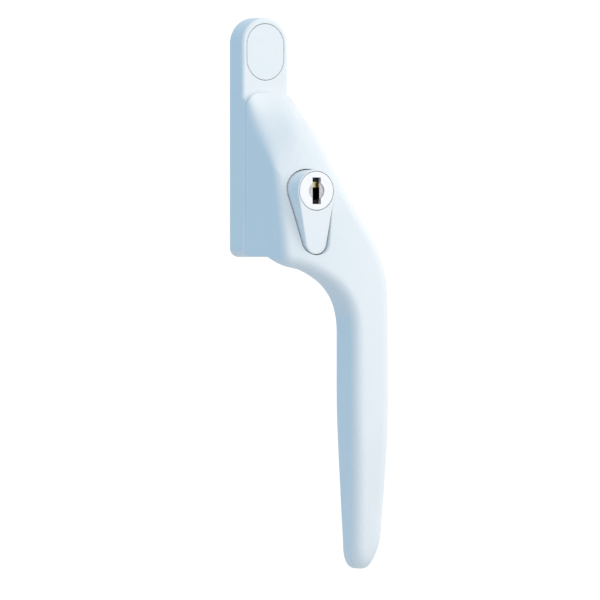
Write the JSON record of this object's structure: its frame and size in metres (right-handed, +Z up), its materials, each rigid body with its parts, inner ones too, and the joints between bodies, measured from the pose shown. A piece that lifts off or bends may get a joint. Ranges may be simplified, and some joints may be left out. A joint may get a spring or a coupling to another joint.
{
  "type": "cranked window handle with key lock",
  "caption": "Cranked right-hand window handle on a slim base plate, with a key lock in an egg-shaped push button.",
  "frame": {"origin": "spindle axis on the sash face, midway between the two fixing screws", "axes": "+X to the right seen from the room, +Y into the sash along the spindle, +Z up; the handle stands out along -Y and its grip hangs along -Z"},
  "size_m": [0.0338, 0.056, 0.1786],
  "materials": {
    "white_enamel": "gloss white enamel over die-cast zinc",
    "white_cap_plastic": "satin-gloss white plastic",
    "plated_screw": "zinc-plated steel",
    "nylon": "natural nylon",
    "spring_steel": "oiled spring steel",
    "bright_steel": "ground steel",
    "plated_spindle": "zinc-plated drawn bar",
    "plain_zinc": "bare die-cast zinc",
    "chrome_face": "bright nickel and chrome plate",
    "sintered_steel": "sintered steel, dry",
    "brass_wafer": "stamped brass"
  },
  "bodies": {
    "base": {"base_plate": "white_enamel", "screw_cover_cap": "white_cap_plastic", "upper_fixing_screw": "plated_screw", "lower_fixing_screw": "plated_screw", "hub_bush": "nylon", "thrust_washer": "spring_steel", "detent_ball": "bright_steel", "detent_spring": "spring_steel", "detent_cover": "nylon"},
    "handle": {"lever": "white_enamel", "spindle": "plated_spindle", "spindle_pin": "bright_steel", "retaining_clip": "spring_steel", "wave_washer": "spring_steel"},
    "button": {"push_button": "white_enamel", "button_back_plate": "plain_zinc", "upper_plate_screw": "plated_screw", "lower_plate_screw": "plated_screw", "locking_pin": "bright_steel", "lock_housing": "plain_zinc", "button_spring": "spring_steel", "catch_spring": "spring_steel"},
    "plug": {"key_plug": "plain_zinc", "plug_face": "chrome_face", "plug_circlip": "spring_steel", "release_cam": "plain_zinc"},
    "catch": {"release_catch": "sintered_steel"},
    "odd_wafers": {"wafer_1": "brass_wafer", "wafer_3": "brass_wafer", "wafer_5": "brass_wafer"},
    "even_wafers": {"wafer_2": "brass_wafer", "wafer_4": "brass_wafer"}
  },
  "joints": [
    {"name": "lever_turn", "type": "hinge", "parent": "base", "child": "handle", "pos_m": [0, 0, 0], "axis": [0, -1, 0], "range_deg": [0, 90]},
    {"name": "button_press", "type": "slide", "parent": "handle", "child": "button", "axis": [0, 1, 0], "range_m": [0, 0.003], "stiffness_N_per_m": 600, "springref_m": -0.003, "deforming": ["button_spring"]},
    {"name": "key_turn", "type": "hinge", "parent": "button", "child": "plug", "pos_m": [0.0013, -0.04, -0.0221], "axis": [0, -1, 0], "range_deg": [0, 90]},
    {"name": "catch_draw", "type": "slide", "parent": "button", "child": "catch", "axis": [-1, 0, 0], "range_m": [0, 0.002], "deforming": ["catch_spring"]},
    {"name": "odd_wafer_lift", "type": "slide", "parent": "plug", "child": "odd_wafers", "axis": [0, 0, 1], "range_m": [0, 0.0005]},
    {"name": "even_wafer_lift", "type": "slide", "parent": "plug", "child": "even_wafers", "axis": [0, 0, -1], "range_m": [0, 0.0005]}
  ],
  "couplings": [
    {"joint": "catch_draw", "follows": "key_turn", "m_per_rad": 0.00126},
    {"joint": "even_wafer_lift", "follows": "odd_wafer_lift", "ratio": 1}
  ]
}
